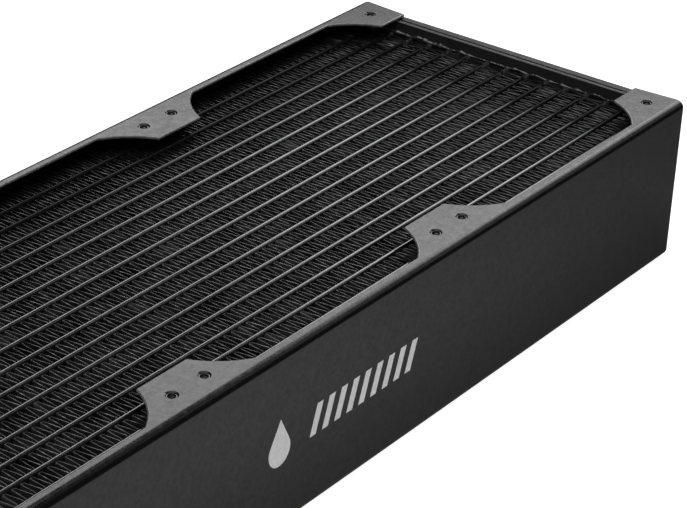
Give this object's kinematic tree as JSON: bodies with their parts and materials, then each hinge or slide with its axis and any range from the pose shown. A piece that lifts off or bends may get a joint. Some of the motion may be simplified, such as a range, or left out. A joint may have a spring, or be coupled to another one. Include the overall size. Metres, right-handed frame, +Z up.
{
  "type": "liquid cooling radiator",
  "caption": "Thick liquid cooling radiator with flat tubes, corrugated fins, folded side panels with scalloped fan flanges, end tanks, threaded ports and a screw-in drain plug.",
  "frame": {"origin": "middle of the underside, at the middle of the whole length and width", "axes": "+X along the length towards the return tank, -X towards the tank with the ports; +Y across the width, with the marked side panel at -Y; +Z up through the thickness, from the lower to the upper fan face"},
  "size_m": [0.467, 0.145, 0.064],
  "materials": {
    "panel_paint": "semi-gloss black powder paint with a fine grain",
    "header_paint": "semi-gloss black paint",
    "tank_paint": "semi-gloss black powder paint",
    "tube_paint": "gloss black paint on brass tube",
    "fin_paint": "thin satin black paint on copper foil",
    "port_brass": "turned brass, painted black on its lip",
    "plug_metal": "black plated brass, satin",
    "seal_rubber": "matt black rubber"
  },
  "bodies": {
    "radiator": {"drain_port_bush": "port_brass", "fin_strip_01": "fin_paint", "fin_strip_02": "fin_paint", "fin_strip_03": "fin_paint", "fin_strip_04": "fin_paint", "fin_strip_05": "fin_paint", "fin_strip_06": "fin_paint", "fin_strip_07": "fin_paint", "fin_strip_08": "fin_paint", "fin_strip_09": "fin_paint", "fin_strip_10": "fin_paint", "fin_strip_11": "fin_paint", "fin_strip_12": "fin_paint", "fin_strip_13": "fin_paint", "fin_strip_14": "fin_paint", "fin_strip_15": "fin_paint", "fin_strip_16": "fin_paint", "flat_tube_lower_01": "tube_paint", "flat_tube_lower_02": "tube_paint", "flat_tube_lower_03": "tube_paint", "flat_tube_lower_04": "tube_paint", "flat_tube_lower_05": "tube_paint", "flat_tube_lower_06": "tube_paint", "flat_tube_lower_07": "tube_paint", "flat_tube_lower_08": "tube_paint", "flat_tube_lower_09": "tube_paint", "flat_tube_lower_10": "tube_paint", "flat_tube_lower_11": "tube_paint", "flat_tube_lower_12": "tube_paint", "flat_tube_lower_13": "tube_paint", "flat_tube_lower_14": "tube_paint", "flat_tube_lower_15": "tube_paint", "flat_tube_upper_01": "tube_paint", "flat_tube_upper_02": "tube_paint", "flat_tube_upper_03": "tube_paint", "flat_tube_upper_04": "tube_paint", "flat_tube_upper_05": "tube_paint", "flat_tube_upper_06": "tube_paint", "flat_tube_upper_07": "tube_paint", "flat_tube_upper_08": "tube_paint", "flat_tube_upper_09": "tube_paint", "flat_tube_upper_10": "tube_paint", "flat_tube_upper_11": "tube_paint", "flat_tube_upper_12": "tube_paint", "flat_tube_upper_13": "tube_paint", "flat_tube_upper_14": "tube_paint", "flat_tube_upper_15": "tube_paint", "header_plate_port": "header_paint", "header_plate_return": "header_paint", "inlet_port_bush": "port_brass", "outlet_port_bush": "port_brass", "port_tank": "tank_paint", "return_tank": "tank_paint", "side_panel_back": "panel_paint", "side_panel_front": "panel_paint", "tank_divider": "tank_paint"},
    "seal_ring": {"drain_plug_o_ring": "seal_rubber"},
    "drain_plug": {"drain_plug": "plug_metal"}
  },
  "joints": [
    {"name": "drain_plug_travel", "type": "slide", "parent": "radiator", "child": "seal_ring", "axis": [-1, 0, 0], "range_m": [0, 0.0081]},
    {"name": "drain_plug_turn", "type": "hinge", "parent": "seal_ring", "child": "drain_plug", "pos_m": [-0.2311, -0.036, 0.032], "axis": [-1, 0, 0], "range_deg": [0, 2160]}
  ],
  "couplings": [
    {"joint": "drain_plug_travel", "follows": "drain_plug_turn", "m_per_rad": 0.00021279}
  ]
}
